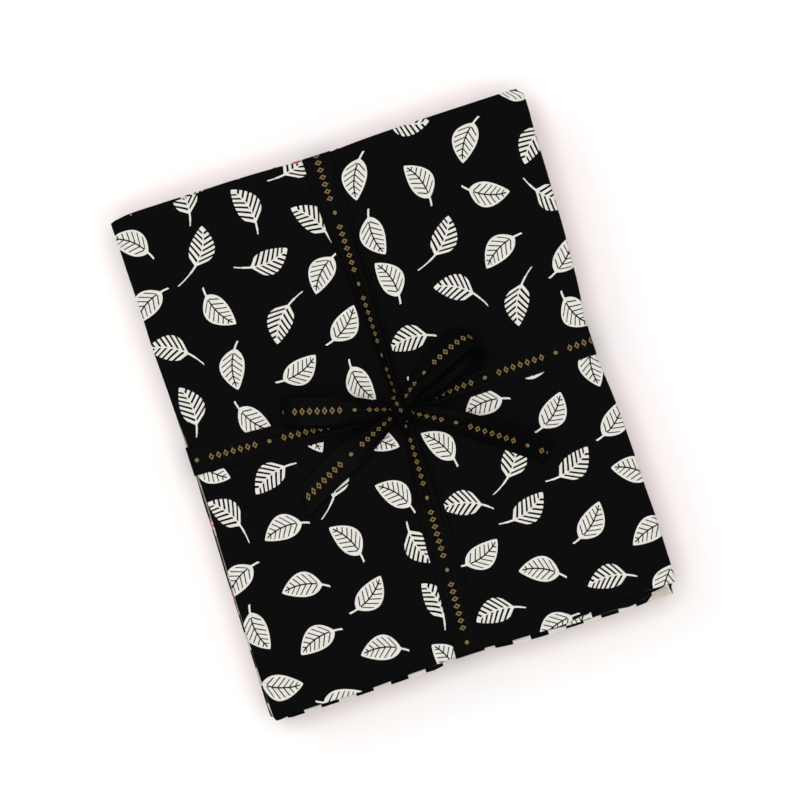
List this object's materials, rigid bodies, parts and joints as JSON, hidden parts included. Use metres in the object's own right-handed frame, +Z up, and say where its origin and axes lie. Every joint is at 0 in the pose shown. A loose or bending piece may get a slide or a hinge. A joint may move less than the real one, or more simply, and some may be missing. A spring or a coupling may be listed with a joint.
{
  "type": "fat quarter bundle",
  "caption": "Stack of folded quilting-cotton fat quarters tied with a printed ribbon in a cross and a bow.",
  "frame": {"origin": "middle of the footprint, on the surface that the bundle rests on", "axes": "+X across the bundle towards its folded side, +Y along its length, +Z up through the stack towards the bow"},
  "size_m": [0.2306, 0.2832, 0.0549],
  "materials": {
    "cotton_black_print": "matt woven cotton, black with a tossed cream leaf print",
    "cotton_check": "matt woven cotton, printed in black and cream squares",
    "cotton_cream": "matt woven cotton, cream with a small print",
    "cotton_red": "matt woven cotton, red with a small print",
    "cotton_pink": "matt woven cotton, pink with a small print",
    "cotton_orange": "matt woven cotton, orange with a small print",
    "cotton_magenta": "matt woven cotton, magenta with a small print",
    "cotton_black": "matt woven cotton, black with a small print",
    "ribbon": "soft satin ribbon with a matt gold print"
  },
  "bodies": {
    "root": {"fat_quarter_01": "cotton_black", "fat_quarter_02": "cotton_cream", "fat_quarter_03": "cotton_red", "fat_quarter_04": "cotton_pink", "fat_quarter_05": "cotton_black", "fat_quarter_06": "cotton_orange", "fat_quarter_07": "cotton_cream", "fat_quarter_08": "cotton_magenta", "fat_quarter_09": "cotton_pink", "fat_quarter_10": "cotton_red", "fat_quarter_11": "cotton_black", "fat_quarter_12": "cotton_check", "fat_quarter_13": "cotton_black_print", "ribbon": "ribbon"}
  },
  "joints": []
}
